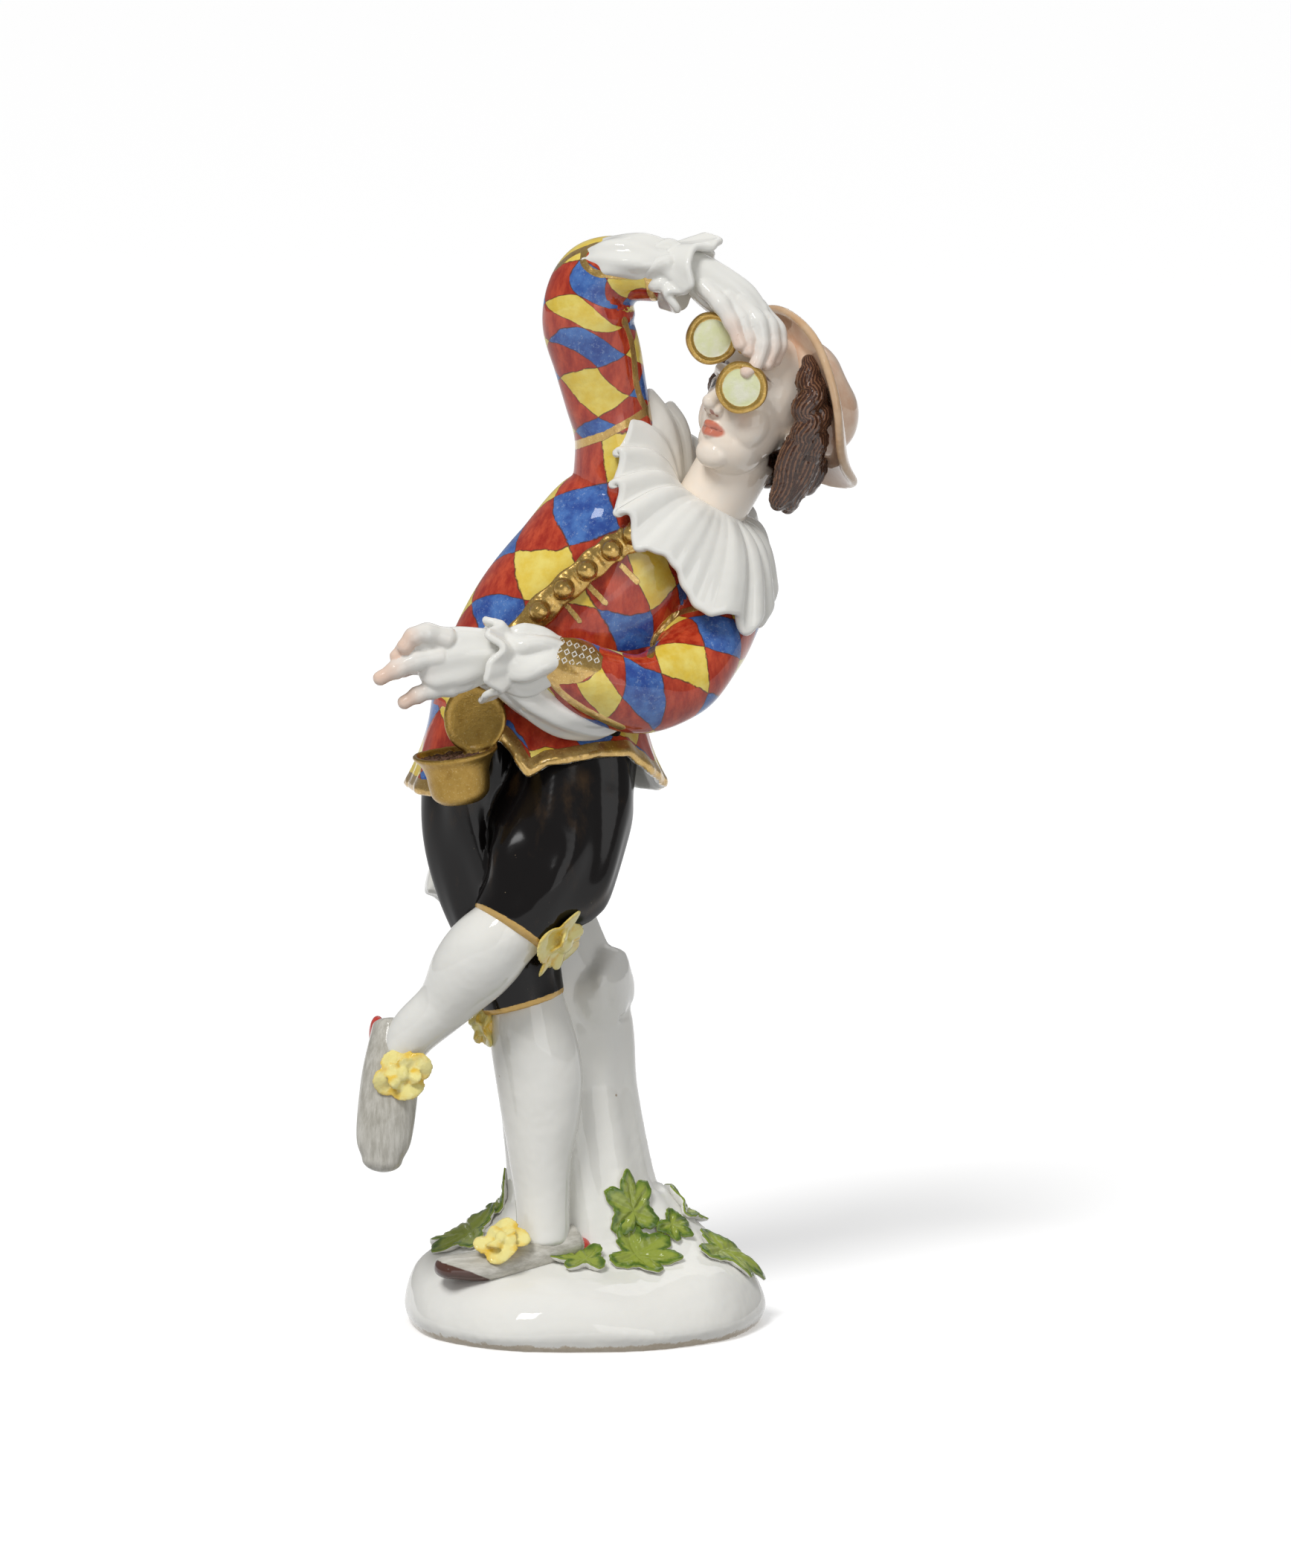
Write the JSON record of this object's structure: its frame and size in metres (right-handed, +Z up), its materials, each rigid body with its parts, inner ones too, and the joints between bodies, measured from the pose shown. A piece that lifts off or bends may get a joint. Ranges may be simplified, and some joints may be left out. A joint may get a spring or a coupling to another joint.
{
  "type": "commedia dell arte figure",
  "caption": "Standing porcelain comedy player in a lozenge coat, leaning back on one leg by a stump and holding eyeglasses to the face, on a leafy mound.",
  "frame": {"origin": "middle of the mound's flat underside", "axes": "+Z up, -Y towards the viewer the player faces, +X to that viewer's right"},
  "size_m": [0.0733, 0.0442, 0.165],
  "materials": {
    "porcelain": "clear glossy glaze over white porcelain, painted in enamels and gilt"
  },
  "bodies": {
    "root": {"porcelain_figure": "porcelain"}
  },
  "joints": []
}
